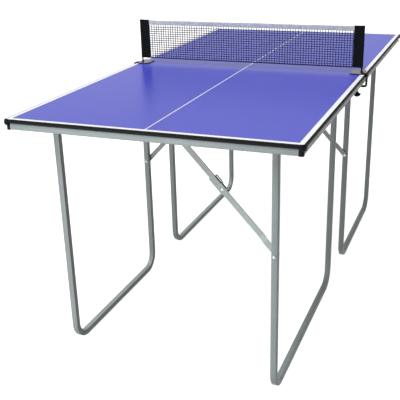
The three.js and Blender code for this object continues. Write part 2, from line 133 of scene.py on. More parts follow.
def make_light():
    """The room, a very soft overhead lamp and a low soft key in front."""
    light_room()
    over = bpy.data.lights.new("overhead", "SUN")
    over.energy = 2.85
    over.angle = math.radians(60)
    put_lamp(over, (0, 0, 3), (0.20, 0.40, -1))
    key = bpy.data.lights.new("key", "AREA")
    key.shape = "RECTANGLE"
    key.size, key.size_y = 1.0, 0.5
    key.energy = 8.5
    put_lamp(key, (-0.45, -1.9, 0.42), (0.25, 1, 0))


def put_lamp(data, place, toward):
    lamp = bpy.data.objects.new(data.name, data)
    lamp.location = place
    lamp.rotation_euler = Vector(toward).to_track_quat("-Z", "Y").to_euler()
    bpy.context.scene.collection.objects.link(lamp)


def make_floor():
    mesh = bpy.data.meshes.new("floor")
    reach = 40
    corners = [(-reach, -reach, 0), (reach, -reach, 0), (reach, reach, 0), (-reach, reach, 0)]
    mesh.from_pydata(corners, [], [(0, 1, 2, 3)])
    floor = bpy.data.objects.new("floor", mesh)
    bpy.context.scene.collection.objects.link(floor)
    floor.visible_diffuse = False  # the walls light the table, and the floor throws nothing back up
    look, nodes, links, shader = new_material("floor_paint", (0.3, 0.3, 0.3), 0.9)
    shader.inputs["Specular IOR Level"].default_value = 0
    shader.inputs["Emission Color"].default_value = (1, 1, 1, 1)
    shader.inputs["Emission Strength"].default_value = 0.95
    mottle(nodes, links, shader, (0.3, 0.3, 0.3), 0.01, 3)
    mesh.materials.append(look)


# ---- materials -------------------------------------------------------------------------------
def new_material(name, colour, roughness, metallic=0.0, **sockets):
    look = bpy.data.materials.new(name)
    look.use_nodes = True
    nodes, links = look.node_tree.nodes, look.node_tree.links
    shader = nodes["Principled BSDF"]
    shader.inputs["Base Color"].default_value = (*colour, 1)
    shader.inputs["Roughness"].default_value = roughness
    shader.inputs["Metallic"].default_value = metallic
    for socket, value in sockets.items():
        shader.inputs[socket.replace("_", " ")].default_value = value
    return look, nodes, links, shader


def noise_node(nodes, links, scale, detail=3.0, stretch=(1, 1, 1)):
    where = nodes.new("ShaderNodeTexCoord")
    place = nodes.new("ShaderNodeMapping")
    place.inputs["Scale"].default_value = stretch
    grain = nodes.new("ShaderNodeTexNoise")
    grain.inputs["Scale"].default_value = scale
    grain.inputs["Detail"].default_value = detail
    links.new(where.outputs["Object"], place.inputs["Vector"])
    links.new(place.outputs["Vector"], grain.inputs["Vector"])
    return grain.outputs["Fac"]


def ranged(nodes, links, value, low, high, from_low=0.3, from_high=0.7):
    spread = nodes.new("ShaderNodeMapRange")
    settings = (("From Min", from_low), ("From Max", from_high), ("To Min", low), ("To Max", high))
    for socket, number in settings:
        spread.inputs[socket].default_value = number
    links.new(value, spread.inputs["Value"])
    return spread.outputs["Result"]


def mottle(nodes, links, shader, colour, amount, scale, stretch=(1, 1, 1)):
    """The base colour varies by this share of itself."""
    blend = nodes.new("ShaderNodeMix")
    blend.data_type = "RGBA"
    dark, light = blend.inputs[6], blend.inputs[7]
    dark.default_value = (*(c * (1 - amount) for c in colour), 1)
    light.default_value = (*(min(1, c * (1 + amount)) for c in colour), 1)
    grain = noise_node(nodes, links, scale, stretch=stretch)
    links.new(ranged(nodes, links, grain, 0, 1), blend.inputs[0])
    links.new(blend.outputs[2], shader.inputs["Base Color"])
    return blend


def roughen(nodes, links, shader, low, high, scale):
    grain = noise_node(nodes, links, scale)
    links.new(ranged(nodes, links, grain, low, high), shader.inputs["Roughness"])


def bump(nodes, links, shader, height, depth):
    node = nodes.new("ShaderNodeBump")
    node.inputs["Strength"].default_value = 1
    node.inputs["Distance"].default_value = depth
    links.new(height, node.inputs["Height"])
    links.new(node.outputs["Normal"], shader.inputs["Normal"])


def painted(name, colour, roughness, peel=0.00003, amount=0.05, spread=0.045, fleck_dark=0.8,
            **sockets):
    """Sprayed or powder-coated paint: an orange-peel surface, faint clouds and fine flecks."""
    look, nodes, links, shader = new_material(name, colour, roughness, **sockets)
    blend = mottle(nodes, links, shader, colour, amount, 9)
    fleck = nodes.new("ShaderNodeMix")
    fleck.data_type = "RGBA"
    fleck.blend_type = "MULTIPLY"
    fleck.inputs[7].default_value = (fleck_dark, fleck_dark, fleck_dark, 1)
    specks = noise_node(nodes, links, 1400, detail=1)
    links.new(ranged(nodes, links, specks, 0, 0.5, 0.55, 0.75), fleck.inputs[0])
    links.new(blend.outputs[2], fleck.inputs[6])
    links.new(fleck.outputs[2], shader.inputs["Base Color"])
    roughen(nodes, links, shader, roughness - spread, roughness + spread, 25)
    bump(nodes, links, shader, noise_node(nodes, links, 450, detail=2), peel)
    return look


def plastic(name, colour, roughness, **sockets):
    """Moulded plastic with a fine grain."""
    look, nodes, links, shader = new_material(name, colour, roughness, **sockets)
    mottle(nodes, links, shader, colour, 0.15, 60)
    roughen(nodes, links, shader, roughness - 0.06, roughness + 0.08, 90)
    bump(nodes, links, shader, noise_node(nodes, links, 1800, detail=2), 0.00004)
    return look


def bare_metal(name, colour, roughness):
    look, nodes, links, shader = new_material(name, colour, roughness, 1.0)
    mottle(nodes, links, shader, colour, 0.08, 120)
    roughen(nodes, links, shader, roughness - 0.06, roughness + 0.1, 200)
    bump(nodes, links, shader, noise_node(nodes, links, 900, stretch=(1, 6, 1)), 0.00002)
    return look


def cloth(name, colour, weave, depth, roughness=0.85, **sockets):
    """Woven cloth: two crossed sets of ribs, weave metres apart, over faint clouds of colour."""
    look, nodes, links, shader = new_material(name, colour, roughness, **sockets)
    mottle(nodes, links, shader, colour, 0.16, 110)
    where = nodes.new("ShaderNodeTexCoord")
    ribs = []
    for axis in ("X", "Z"):
        wave = nodes.new("ShaderNodeTexWave")
        wave.bands_direction = axis
        wave.inputs["Scale"].default_value = math.pi / (10 * weave)
        wave.inputs["Distortion"].default_value = 0.6
        links.new(where.outputs["Object"], wave.inputs["Vector"])
        ribs.append(wave.outputs["Fac"])
    weft = nodes.new("ShaderNodeMath")
    weft.operation = "ADD"
    links.new(ribs[0], weft.inputs[0])
    links.new(ribs[1], weft.inputs[1])
    bump(nodes, links, shader, weft.outputs["Value"], depth)
    return look


def twisted_cord(name, colour):
    look, nodes, links, shader = new_material(name, colour, 0.8, Sheen_Weight=0.05)
    mottle(nodes, links, shader, colour, 0.3, 500)
    bump(nodes, links, shader, noise_node(nodes, links, 2500, stretch=(1, 1, 0.5)), 0.0002)
    return look


def fibreboard(name, colour):
    look, nodes, links, shader = new_material(name, colour, 0.8)
    mottle(nodes, links, shader, colour, 0.14, 700)
    bump(nodes, links, shader, noise_node(nodes, links, 1500), 0.0001)
    return look


BLUE = (0.037, 0.048, 0.53)
LOOKS = {
    "blue": painted("blue_paint", BLUE, 0.30, peel=0.000002, amount=0.012, spread=0.004,
                    fleck_dark=0.97, Specular_IOR_Level=0.37),
    # painted shadow: a thin band of darker blue beside each white line
    "painted_shadow": painted("blue_darkened_as_shadow", tuple(0.62 * c for c in BLUE), 0.4, amount=0.03),
    "white": painted("white_line_paint", (0.9, 0.9, 0.93), 0.42, amount=0.02),
    "wood": fibreboard("board_underside", (0.24, 0.16, 0.10)),
    "black": plastic("black_moulding", (0.005, 0.006, 0.006), 0.5, Specular_IOR_Level=0.12),
    "rail": painted("rail_paint", (0.33, 0.385, 0.39), 0.42),
    # the legs wear the rails' powder coat; their copy is painted a little darker, which is painted shade
    "leg": painted("leg_paint_with_painted_shade", (0.31, 0.360, 0.360), 0.42),
    # the braces wear the rails' powder coat; their copy is painted lighter, which is painted light
    "brace": painted("brace_paint_with_painted_light", (0.44, 0.50, 0.50), 0.45),
    "zinc": bare_metal("zinc_plate", (0.46, 0.48, 0.49), 0.34),
    "steel": painted("black_enamel", (0.004, 0.004, 0.005), 0.55, Specular_IOR_Level=0.06),
    "plate": painted("black_gloss_enamel", (0.006, 0.006, 0.008), 0.16, Specular_IOR_Level=1.0),
    "knob": plastic("knob_plastic", (0.003, 0.003, 0.004), 0.5, Specular_IOR_Level=0.06),
    "net": twisted_cord("net_twine", (0.009, 0.012, 0.07)),
    "tape": cloth("tape_cotton", (0.86, 0.95, 0.91), 0.0009, 0.00015),
    "thread": cloth("stitch_thread", (0.62, 0.66, 0.66), 0.0006, 0.0001),
    "sleeve": cloth("sleeve_canvas", (0.011, 0.014, 0.015), 0.0012, 0.0002,
                    Specular_IOR_Level=0.1),
}


# ---- mesh tools ------------------------------------------------------------------------------
class Solid:
    """Closed shells drawn by lofting rings of points. Each face has the number of its look."""

    def __init__(self):
        self.points = []
        self.faces = []
        self.marks = []

    def face(self, corners, mark):
        self.faces.append(tuple(corners))
        self.marks.append(mark)

    def loft(self, rings, mark=0, joined=False):
        """Skins the rings. The last is joined to the first, or both ends are closed.
        An end ring of one point is a tip."""
        starts = []
        for ring in rings:
            starts.append(len(self.points))
            self.points += [tuple(p) for p in ring]
        count = max(len(ring) for ring in rings)
        pairs = list(zip(range(len(rings)), range(1, len(rings))))
        if joined:
            pairs.append((len(rings) - 1, 0))
        for i, j in pairs:
            for k in range(count):
                m = (k + 1) % count
                low = [starts[i] + k, starts[i] + m] if len(rings[i]) > 1 else [starts[i]]
                high = [starts[j] + m, starts[j] + k] if len(rings[j]) > 1 else [starts[j]]
                self.face(low + high, mark)
        if not joined:
            for start, ring in ((starts[0], rings[0]), (starts[-1], rings[-1])):
                if len(ring) > 1:
                    self.face(range(start, start + len(ring)), mark)

    def prism(self, outline, low, high, axis="y", mark=0):
        """An outline in the plane across the axis, from low to high along it."""
        place = {
            "x": lambda a, b, c: (c, a, b),
            "y": lambda a, b, c: (a, c, b),
            "z": lambda a, b, c: (a, b, c),
        }[axis]
        self.loft([[place(a, b, c) for a, b in outline] for c in (low, high)], mark)

    def lathe(self, profile, centre, axis, mark=0, steps=24):
        """profile is (radius, height) pairs, turned about the axis through centre."""
        axis = Vector(axis).normalized()
        side = axis.orthogonal().normalized()
        front = axis.cross(side)
        rings = []
        for radius, height in profile:
            middle = Vector(centre) + axis * height
            if radius == 0:
                rings.append([middle])
                continue
            turns = [math.tau * k / steps for k in range(steps)]
            rings.append(
                [middle + radius * (math.cos(t) * side + math.sin(t) * front) for t in turns]
            )
        self.loft(rings, mark)

    def turned(self, sign):
        """The same for sign 1, or turned half a turn about Z for sign -1."""
        if sign < 0:
            self.points = [(-x, -y, z) for x, y, z in self.points]
        return self


def piece(name, solid, looks, body, replaces=(), bevel=0.0, segments=2):
    """Makes the solid an object that rides on the body. Edges sharper than 35 degrees are bevelled."""
    mesh = bpy.data.meshes.new(name)
    mesh.from_pydata(solid.points, [], solid.faces)
    mesh.polygons.foreach_set("material_index", solid.marks)
    work = bmesh.new()
    work.from_mesh(mesh)
    bmesh.ops.recalc_face_normals(work, faces=work.faces)
    sharp = math.radians(35)
    for edge in work.edges:
        edge.smooth = bool(bevel) or edge.calc_face_angle(0) < sharp
    for face in work.faces:
        face.smooth = True
    work.to_mesh(mesh)
    work.free()
    for look in looks:
        mesh.materials.append(LOOKS[look])
    obj = bpy.data.objects.new(name, mesh)
    bpy.context.scene.collection.objects.link(obj)
    if bevel:
        rounding = obj.modifiers.new("rounding", "BEVEL")
        rounding.width = bevel
        rounding.segments = segments
        rounding.limit_method = "ANGLE"
        rounding.angle_limit = sharp
        rounding.harden_normals = True
    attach(obj, body)
    if replaces:
        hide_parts(*([replaces] if isinstance(replaces, str) else replaces))
    return obj


def arc(centre, radius, start, end, steps):
    """Points on an arc, in degrees, both ends included."""
    turns = [math.radians(start + (end - start) * k / steps) for k in range(steps + 1)]
    return [(centre[0] + radius * math.cos(t), centre[1] + radius * math.sin(t)) for t in turns]


def round_box(a0, a1, b0, b1, radius, steps=4):
    """The outline of a rectangle with round corners."""
    corners = (
        (a1 - radius, b0 + radius, -90),
        (a1 - radius, b1 - radius, 0),
        (a0 + radius, b1 - radius, 90),
        (a0 + radius, b0 + radius, 180),
    )
    return [p for a, b, t in corners for p in arc((a, b), radius, t, t + 90, steps)]


def dome(radius, height, recess=0.0):
    """The profile of a rivet or screw head, with a recess in the middle of a screw's."""
    brim = 0.25 * height
    rim = [(radius, 0), (radius, brim)]
    rim += [(radius * math.cos(t), brim + (height - brim) * math.sin(t)) for t in (0.4, 0.8, 1.15)]
    if recess:
        floor = height - recess
        return [(0, 0), *rim, (0.3 * radius, height), (0.16 * radius, floor), (0, floor)]
    return [(0, 0), *rim, (0.18 * radius, height), (0, height)]


def rod(radius, length, ease=0.0):
    """The profile of a rod, its edges eased by this much at both ends."""
    if not ease:
        return [(0, 0), (radius, 0), (radius, length), (0, length)]
    end = [(0, 0), (radius - ease, 0), (radius, ease)]
    return end + [(r, length - h) for r, h in reversed(end)]


# ---- the board and its edge ------------------------------------------------------------------
CORNER = 0.006  # radius of the board's outer corners
GAP = 0.0002  # from the board's edge out to the moulding, or in to a corner's post


def make_board(half, sign):
    """The blue panel. Its white lines are faces of their own, so that their edges are crisp."""
    x, end, seam = BOARD_HIGH.x, BOARD_LOW.y, BOARD_HIGH.y
    line = CENTRE_LINE / 2
    side_stops = [line, line + PAINTED_SHADOW_WIDTH, x - BORDER - PAINTED_SHADOW_WIDTH, x - BORDER, x]
    xs = [-a for a in reversed(side_stops)] + side_stops
    ys = [end, end + BORDER, end + BORDER + PAINTED_SHADOW_WIDTH, seam]
    board = Solid()
    known = {}

    def vertex(a, b, c):
        key = (round(a, 6), round(b, 6), round(c, 6))
        if key not in known:
            known[key] = len(board.points)
            board.points.append((a, b, c))
        return known[key]

    def rounded(a, b):
        """The board's outer corners are round; every other grid point stays."""
        if b == end and abs(a) == x:
            turn = 180 if a < 0 else 270
            middle = (math.copysign(x - CORNER, a), end + CORNER)
            return arc(middle, CORNER, turn, turn + 90, 8)
        return [(a, b)]

    # the darker blue bands beside the white lines are painted shadow
    columns = ["white", "painted_shadow", "blue", "painted_shadow", "white", "painted_shadow", "blue", "painted_shadow", "white"]
    rows = ["white", "painted_shadow", "blue"]
    looks = ["blue", "painted_shadow", "white", "wood"]
    wood = looks.index("wood")
    for i, (x0, x1) in enumerate(zip(xs, xs[1:])):
        for j, (y0, y1) in enumerate(zip(ys, ys[1:])):
            look = columns[i]
            at_end = j < 2 and look != "white"
            crosses_line = i == 4 and j > 0
            if at_end or (j == 0 and not crosses_line):
                look = rows[j]
            corners = [p for a, b in ((x0, y0), (x1, y0), (x1, y1), (x0, y1)) for p in rounded(a, b)]
            board.face([vertex(a, b, PLAY) for a, b in corners], looks.index(look))
    rim = [p for a in xs for p in rounded(a, end)]
    rim += [(xs[-1], b) for b in ys[1:]] + [(a, seam) for a in reversed(xs[:-1])]
    rim += [(xs[0], b) for b in reversed(ys[1:-1])]
    under = [vertex(a, b, BOARD_UNDER) for a, b in rim]
    over = [vertex(a, b, PLAY) for a, b in rim]
    for k in range(len(rim)):
        m = (k + 1) % len(rim)
        board.face((over[k], over[m], under[m], under[k]), wood)
    board.face(under, wood)
    body = f"{half}_half"
    piece(f"{half}_board_panel", board.turned(sign), looks, body, f"{half}_board", 0.0005)


def edge_stations(only=0, tail=0.0):
    """Points along the board's three free sides, each with its outward direction. With only,
    they go round the corner on that side, and on by the tail at both ends."""
    x, end, seam = BOARD_HIGH.x - CORNER, BOARD_LOW.y + CORNER, BOARD_HIGH.y
    steps = 10
    stations = []
    for side in (-1, 1):
        if only and side != only:
            continue
        first = 180 if side < 0 else 270
        turns = [math.radians(first + 90 * k / steps) for k in range(steps + 1)]
        bend = [
            (side * x + CORNER * math.cos(t), end + CORNER * math.sin(t), math.cos(t), math.sin(t))
            for t in turns
        ]
        if tail:
            a, b = bend[0], bend[-1]
            before = (a[0] + tail * a[3], a[1] - tail * a[2], a[2], a[3])
            after = (b[0] - tail * b[3], b[1] + tail * b[2], b[2], b[3])
            bend = [before, *bend, after]
        stations += bend
    if only:
        return stations
    return [(-BOARD_HIGH.x, seam, -1, 0), *stations, (BOARD_HIGH.x, seam, 1, 0)]


def swept_edge(profile, stations):
    """The (outward, height) profile carried along the stations."""
    strip = Solid()
    strip.loft([[(x + u * o, y + v * o, h) for o, h in profile] for x, y, u, v in stations])
    return strip


def bulged(low, high, lip, out, power, angles):
    """The rounded outer side of a moulding, from low to high, as (outward, height) pairs."""
    middle, tall = (low + high) / 2, (high - low) / 2
    turns = [math.radians(a) for a in angles]
    return [(lip + out * math.cos(t) ** power, middle + tall * math.sin(t)) for t in turns]


def make_moulding(half, sign):
    low, high = BOARD_UNDER, PLAY
    angles = (-84, -70, -55, -38, -20, 0, 20, 38, 55, 70, 84)
    bulge = bulged(low, high, 0.0008, 0.0042, 0.7, angles)
    strip = swept_edge([(GAP, low), *bulge, (GAP, high)], edge_stations())
    piece(f"{half}_edge_bead", strip.turned(sign), ["black"], f"{half}_half",
          f"{half}_edge_moulding")


def make_corner(half, sign, kind, side):
    """A plastic corner: a round collar over the moulding's bend, and a post that closes the rails."""
    low, high = BOARD_UNDER - 0.0058, PLAY + 0.0004
    under = BOARD_UNDER - 0.0003
    lap = 0.004  # how far the collar reaches in under the board
    inside = [(-lap, under), (-lap, low + 0.001), (-lap / 2, low)]
    bulge = bulged(low, high, 0.0010, 0.0053, 0.6, range(-84, 85, 12))
    profile = [*inside, *bulge, (GAP, high), (GAP, under)]
    cap = swept_edge(profile, edge_stations(only=side, tail=lap))

    foot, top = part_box(f"near_{kind}_corner_cap")
    x_in = foot.x if side > 0 else top.x
    x_out, y_out, y_in = side * (BOARD_HIGH.x - GAP), BOARD_LOW.y + GAP, top.y
    radius = 0.005
    middle = (x_out - side * radius, y_out + radius)
    turn = 270 if side > 0 else 180
    bend = arc(middle, radius, turn, turn + 90, 8)
    outline = [(x_in, y_in), (x_in, y_out), *bend, (x_out, y_in)]
    if side < 0:
        outline = [(x_in, y_in), (x_out, y_in), *bend, (x_in, y_out)]
    cap.prism(outline, foot.z, under, "z")

    head, dimple, floor = 0.0026, 0.0018, 0.0001
    screw = [(0, 0), (head, 0), (head, 0.0006), (dimple, 0.0006), (0.0014, floor), (0, floor)]
    place = (side * (BOARD_HIGH.x - 0.002), BOARD_LOW.y - 0.0061, BOARD_UNDER + 0.0025)
    cap.lathe(screw, place, BACK)
    piece(f"{half}_{kind}_corner", cap.turned(sign), ["black"], f"{half}_half",
          f"{half}_{kind}_corner_cap", 0.0006)


# ---- the frame under the board ---------------------------------------------------------------
END_SCREWS = (-0.369, -0.214, -0.060, 0.115, 0.262, 0.376)  # their places along the end rail
SIDE_SCREWS = (-0.79, -0.60, -0.41, -0.22, -0.06)  # their places along a side rail


def hollow_rail(low, high, axis):
    """A box-section rail with round edges, open at both ends."""
    rail = Solid()
    radius, wall = 0.0022, 0.0012
    if axis == "x":
        a0, a1, start, end = low.y, high.y, low.x, high.x
    else:
        a0, a1, start, end = low.x, high.x, low.y, high.y
    outer = round_box(a0, a1, low.z, high.z, radius)
    inner = round_box(a0 + wall, a1 - wall, low.z + wall, high.z - wall, radius - wall)
    place = (lambda a, b, c: (c, a, b)) if axis == "x" else (lambda a, b, c: (a, c, b))
    rings = [[place(a, b, c) for a, b in outer] for c in (start, end)]
    rings += [[place(a, b, c) for a, b in inner] for c in (end, start)]
    rail.loft(rings, joined=True)
    return rail


def add_screw(solid, x, y, z, radius=0.0038, height=0.0022):
    """A screw head that looks down, in the solid's second look."""
    solid.lathe(dome(radius, height, 0.0010), (x, y, z), DOWN, 1, 20)


def make_rails(half, sign):
    body = f"{half}_half"
    low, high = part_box("near_end_rail")
    rail = hollow_rail(low, high, "x")
    for x in END_SCREWS:
        add_screw(rail, x, (low.y + high.y) / 2, low.z)
    piece(f"{half}_end_apron", rail.turned(sign), ["rail", "zinc"], body, f"{half}_end_rail")
    for kind in KINDS:
        low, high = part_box(f"near_{kind}_side_rail")
        rail = hollow_rail(low, high, "y")
        for y in SIDE_SCREWS:
            add_screw(rail, (low.x + high.x) / 2, y, low.z)
        piece(f"{half}_{kind}_apron", rail.turned(sign), ["rail", "zinc"], body,
              f"{half}_{kind}_side_rail")
    low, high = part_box("near_seam_rail")
    rail = hollow_rail(low, high, "x")
    piece(f"{half}_seam_apron", rail.turned(sign), ["rail"], body, f"{half}_seam_rail")


def make_leg_brackets(half, sign, kind):
    """Sheet-metal saddles: a base screwed to the board and two ears that hold the cross pin."""
    pivot = JOINT_AT[f"near_{kind}_leg_fold"]
    base, ear_thick, half_ear = 0.0016, 0.0024, 0.0155
    for end in ("end", "seam"):
        low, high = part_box(f"near_{kind}_leg_bracket_{end}")
        middle = (low.y + high.y) / 2
        saddle = Solid()
        saddle.prism(round_box(low.x, high.x, low.y, high.y, 0.003), high.z - base, high.z, "z")
        lobe = arc((pivot.x, pivot.z), 0.009, 200, 340, 14)
        ear_top = high.z - base / 2
        ear = [(pivot.x - half_ear, ear_top), *lobe, (pivot.x + half_ear, ear_top)]
        for a, b in ((low.y, low.y + ear_thick), (high.y - ear_thick, high.y)):
            saddle.prism(ear, a, b)
        for x in (low.x + 0.0045, high.x - 0.0045):
            add_screw(saddle, x, middle, high.z - base, 0.0032, 0.0018)
        piece(f"{half}_{kind}_saddle_{end}", saddle.turned(sign), ["leg", "zinc"], f"{half}_half",
              f"{half}_{kind}_leg_bracket_{end}", 0.0004)


# ---- the legs --------------------------------------------------------------------------------
def leg_rings(section, x, y_end, y_seam, top):
    """The section carried down one upright, along the floor run and up the other."""
    rings = []

    def add(y, z, turn):
        inward = Vector((0, math.cos(turn), math.sin(turn)))
        middle = Vector((x, y, z))
        rings.append([middle + Vector((a, 0, 0)) + b * inward for a, b in section])

    steps = 14
    add(y_end, top, 0)
    for centre, start in ((y_end + BEND, 0), (y_seam - BEND, math.pi / 2)):
        for k in range(steps + 1):
            turn = start + math.pi / 2 * k / steps
            rise = TUBE / 2 + BEND - BEND * math.sin(turn)
            add(centre - BEND * math.cos(turn), rise, turn)
    add(y_seam, top, math.pi)
    return rings


def make_leg(half, sign, kind):
    low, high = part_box(f"near_{kind}_leg")
    pivot = JOINT_AT[f"near_{kind}_leg_fold"]
    y_end, y_seam = low.y + CROSS_PIN, high.y - CROSS_PIN
    radius = 0.002
    bore = TUBE / 2 - TUBE_WALL
    outer = round_box(-TUBE / 2, TUBE / 2, -TUBE / 2, TUBE / 2, radius, 5)
    inner = round_box(-bore, bore, -bore, bore, radius - TUBE_WALL, 5)
    leg = Solid()
    outside = leg_rings(outer, pivot.x, y_end, y_seam, high.z)
    inside = leg_rings(inner, pivot.x, y_end, y_seam, high.z)
    leg.loft([*outside, *reversed(inside)], joined=True)
    for y in (y_end, y_seam):
        pin = rod(0.004, 2 * CROSS_PIN, 0.0006)
        leg.lathe(pin, (pivot.x, y - CROSS_PIN, pivot.z), ACROSS, 1)
    body = f"{half}_{kind}_leg"
    piece(f"{half}_{kind}_leg_tube", leg.turned(sign), ["leg", "zinc"], body,
          f"{half}_{kind}_leg")
    low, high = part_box(f"near_{kind}_leg_rivet")
    rivet = Solid()
    head_high = 0.0036
    face = Vector(((low.x + high.x) / 2, low.y + head_high, (low.z + high.z) / 2))
    rivet.lathe(dome(0.0056, head_high), face, BACK, steps=28)
    rivet.lathe(rod(0.0028, high.y - face.y), face, ACROSS)
    piece(f"{half}_{kind}_rivet_head", rivet.turned(sign), ["zinc"], body,
          f"{half}_{kind}_leg_rivet")


# ---- the braces ------------------------------------------------------------------------------
class BraceFrame:
    """along runs from the leg's rivet to the top pivot, over is the side that the brace folds to."""

    def __init__(self, kind):
        low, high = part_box(f"near_{kind}_leg_rivet")
        self.foot = Vector(((low.x + high.x) / 2, 0, (low.z + high.z) / 2))
        top = JOINT_AT[f"near_{kind}_brace_top"]
        self.top = Vector((top.x, 0, top.z))
        self.along = (self.top - self.foot).normalized()
        side = math.copysign(1, self.foot.x)
        self.over = Vector((side * self.along.z, 0, -side * self.along.x))
        self.length = (self.top - self.foot).length
        middle = JOINT_AT[f"near_{kind}_brace_middle"]
        self.middle = (Vector((middle.x, 0, middle.z)) - self.foot).length
        self.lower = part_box(f"near_{kind}_brace_lower_arm")
        self.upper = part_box(f"near_{kind}_brace_upper_arm")

    def at(self, a, n, y):
        return self.foot + a * self.along + n * self.over + Vector((0, y, 0))

    def bar(self, solid, stations):
        """A flat bar through stations of (place along, low edge, high edge, level in y)."""
        rings = []
        for a, low, high, y in stations:
            section = ((low, 0), (high, 0), (high, SHEET), (low, SHEET))
            rings.append([self.at(a, n, y + t) for n, t in section])
        solid.loft(rings)


def round_end(a, direction, half, y, steps=7):
    """Stations of a bar's round end about its pivot, from the tip inwards or outwards."""
    turns = [math.radians(86 - 86 * k / steps) for k in range(steps + 1)]
    cap = [(a + direction * half * math.sin(t), -half * math.cos(t), half * math.cos(t), y) for t in turns]
    return cap if direction < 0 else cap[::-1]


def make_brace(half, sign, kind):
    shape = BraceFrame(kind)
    make_lower_arm(half, sign, kind, shape)
    make_upper_arm(half, sign, kind, shape)
    make_brace_bracket(half, sign, kind, shape)
    make_catch(half, sign, kind, shape)


def make_lower_arm(half, sign, kind, shape):
    """A flat bar that steps out in y, and widens round the middle pivot and beyond it, where its lip
    stops the upper arm. It carries the middle rivet and a rivet head at its foot."""
    half_arm = ARM / 2
    step_out, step_start, step_length, steps = 0.0045, 0.042, 0.022, 6
    foot_y, upper_y = shape.lower[0].y, shape.upper[0].y
    main_y = foot_y + step_out
    stations = round_end(0, -1, half_arm, foot_y)
    for k in range(steps + 1):
        risen = 0.5 - 0.5 * math.cos(math.pi * k / steps)
        a = step_start + step_length * k / steps
        stations.append((a, -half_arm, half_arm, foot_y + step_out * risen))
    wing_start, wing_end = shape.middle - 0.014, shape.middle + 0.045
    low_wing, high_wing = -half_arm - 0.0025, half_arm + 0.002
    stations.append((wing_start, -half_arm, half_arm, main_y))
    wing = ((wing_start + 0.005, 0), (wing_end - 0.004, 0), (wing_end - 0.0012, 0.0012), (wing_end, 0.004))
    for a, ease in wing:
        stations.append((a, low_wing + ease, high_wing - ease, main_y))
    lower = Solid()
    shape.bar(lower, stations)

    lip_low, lip_y = half_arm + 0.0004, upper_y + SHEET
    section = ((lip_low, main_y), (high_wing, main_y), (high_wing, lip_y), (lip_low, lip_y))
    lip_ends = (shape.middle + 0.014, wing_end - 0.005)
    lower.loft([[shape.at(a, n, y) for n, y in section] for a in lip_ends])

    end_y = lip_y + 0.0004
    near, far = (shape.at(shape.middle, 0, y) for y in (main_y, end_y))
    lower.lathe(rod(0.003, end_y - main_y), near, ACROSS, 1)
    lower.lathe(dome(0.0056, 0.0021), far, ACROSS, 1, 28)
    lower.lathe(dome(0.0045, 0.0014), near, BACK, 1, 28)
    lower.lathe(dome(0.0056, 0.0020), shape.at(0, 0, foot_y + SHEET), ACROSS, 1, 28)
    piece(f"{half}_{kind}_lower_arm_bar", lower.turned(sign), ["brace", "zinc"],
          f"{half}_{kind}_brace_lower", f"{half}_{kind}_brace_lower_arm", 0.0005)


def make_upper_arm(half, sign, kind, shape):
    y = shape.upper[0].y
    upper = Solid()
    stations = round_end(shape.middle, -1, ARM / 2, y) + round_end(shape.length, 1, ARM / 2, y)
    shape.bar(upper, stations)
    piece(f"{half}_{kind}_upper_arm_bar", upper.turned(sign), ["brace"],
          f"{half}_{kind}_brace_upper", f"{half}_{kind}_brace_upper_arm", 0.0005)


def make_brace_bracket(half, sign, kind, shape):
    """An angle of sheet metal under the board, with the pin that the upper arm turns on."""
    low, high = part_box(f"near_{kind}_brace_bracket")
    inside = shape.upper[1].y + 0.0006
    thick, half_ear = 0.002, 0.014
    x, z = shape.top.x, shape.top.z
    bracket = Solid()
    lobe = arc((x, z), 0.0085, 195, 345, 14)
    ear_top = high.z - thick / 2
    bracket.prism([(x - half_ear, ear_top), *lobe, (x + half_ear, ear_top)], inside, inside + thick)
    bracket.prism(round_box(low.x, high.x, inside, high.y, 0.003), high.z - thick, high.z, "z")
    pin_length = 0.0046
    pin = [(0, 0), (0.0026, 0), (0.003, 0.0004), (0.003, pin_length), (0, pin_length)]
    bracket.lathe(pin, (x, shape.upper[0].y, z), ACROSS, 1)
    bracket.lathe(dome(0.0055, 0.0019), (x, inside + thick, z), ACROSS, 1)
    margin = 0.006
    for screw_x in (low.x + margin, high.x - margin):
        add_screw(bracket, screw_x, high.y - margin, high.z - thick, 0.0032, 0.0018)
    piece(f"{half}_{kind}_angle_bracket", bracket.turned(sign), ["brace", "zinc"], f"{half}_half",
          f"{half}_{kind}_brace_bracket", 0.0004)


def wire(solid, route, radius, sides=10):
    """A round wire along a route of points, with soft ends."""
    route = [Vector(p) for p in route]
    rings = []
    for i, p in enumerate(route):
        ahead = (route[min(i + 1, len(route) - 1)] - route[max(i - 1, 0)]).normalized()
        side = Vector((0, 1, 0)) if abs(ahead.y) < 0.9 else Vector((1, 0, 0))
        front = ahead.cross(side).normalized()
        side = front.cross(ahead)
        turns = [math.tau * k / sides for k in range(sides)]
        rings.append([p + radius * (math.cos(t) * side + math.sin(t) * front) for t in turns])
    first = (route[0] - route[1]).normalized() * radius * 0.6
    last = (route[-1] - route[-2]).normalized() * radius * 0.6
    solid.loft([[route[0] + first], *rings, [route[-1] + last]])


def make_catch(half, sign, kind, shape):
    """The spring catch: a bent wire along the lower arm's edge, whose free end stands off."""
    low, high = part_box(f"near_{kind}_brace_catch")
    y = (low.y + high.y) / 2
    radius, reach, stand_off = 0.0014, 0.0432, 0.004
    edge = ARM / 2 + 0.0024 + radius
    foot = shape.middle - 0.0046
    steps = 24
    points = []
    for k in range(steps + 1):
        t = k / steps
        rise = stand_off / (1 + math.exp(-26 * (t - 0.44)))  # an S-shaped step
        points.append(shape.at(foot + t * reach, edge + rise, y))
    catch = Solid()
    wire(catch, points, radius)
    hook = [shape.at(foot + reach, edge + n, y) for n in (stand_off, 0.0025, 0.0007)]
    wire(catch, hook, radius)
    piece(f"{half}_{kind}_catch_wire", catch.turned(sign), ["steel"], f"{half}_{kind}_catch",
          f"{half}_{kind}_brace_catch")


